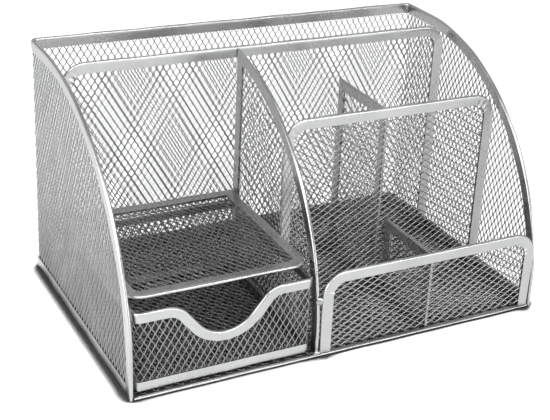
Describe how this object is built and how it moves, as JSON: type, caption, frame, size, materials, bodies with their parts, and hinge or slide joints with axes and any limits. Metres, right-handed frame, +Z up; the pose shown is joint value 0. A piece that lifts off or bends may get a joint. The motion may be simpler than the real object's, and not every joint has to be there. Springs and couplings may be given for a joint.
{
  "type": "desk organizer",
  "caption": "Expanded-metal desk organizer with swept ends, letter slot, open bays, a shelf and a sliding drawer with a finger scoop.",
  "frame": {"origin": "centre of the underside, on the surface that the stand rests on", "axes": "+X to the viewer's right along the width, -Y towards the open front, +Z up"},
  "size_m": [0.22, 0.14, 0.125],
  "materials": {
    "silver_mesh": "satin silver paint",
    "silver_trim": "satin silver paint"
  },
  "bodies": {
    "stand": {"left_end_mesh": "silver_mesh", "left_end_trim": "silver_trim", "right_end_mesh": "silver_mesh", "right_end_trim": "silver_trim", "back_mesh": "silver_mesh", "back_trim": "silver_trim", "base_mesh": "silver_mesh", "base_front_trim": "silver_trim", "foot_trim": "silver_trim", "rear_partition_mesh": "silver_mesh", "rear_partition_trim": "silver_trim", "pocket_partition_mesh": "silver_mesh", "pocket_partition_trim": "silver_trim", "front_panel_mesh": "silver_mesh", "front_panel_trim": "silver_trim", "rear_cross_divider_mesh": "silver_mesh", "rear_cross_divider_trim": "silver_trim", "front_cross_divider_mesh": "silver_mesh", "front_cross_divider_trim": "silver_trim", "middle_divider_mesh": "silver_mesh", "middle_divider_trim": "silver_trim", "shelf_mesh": "silver_mesh", "shelf_trim": "silver_trim"},
    "drawer": {"drawer_left_mesh": "silver_mesh", "drawer_right_mesh": "silver_mesh", "drawer_rear_mesh": "silver_mesh", "drawer_front_mesh": "silver_mesh", "drawer_front_trim": "silver_trim", "drawer_foot_trim": "silver_trim", "drawer_top_trim": "silver_trim", "drawer_floor_mesh": "silver_mesh"}
  },
  "joints": [
    {"name": "drawer_slide", "type": "slide", "parent": "stand", "child": "drawer", "axis": [0, -1, 0], "range_m": [0, 0.085]}
  ]
}
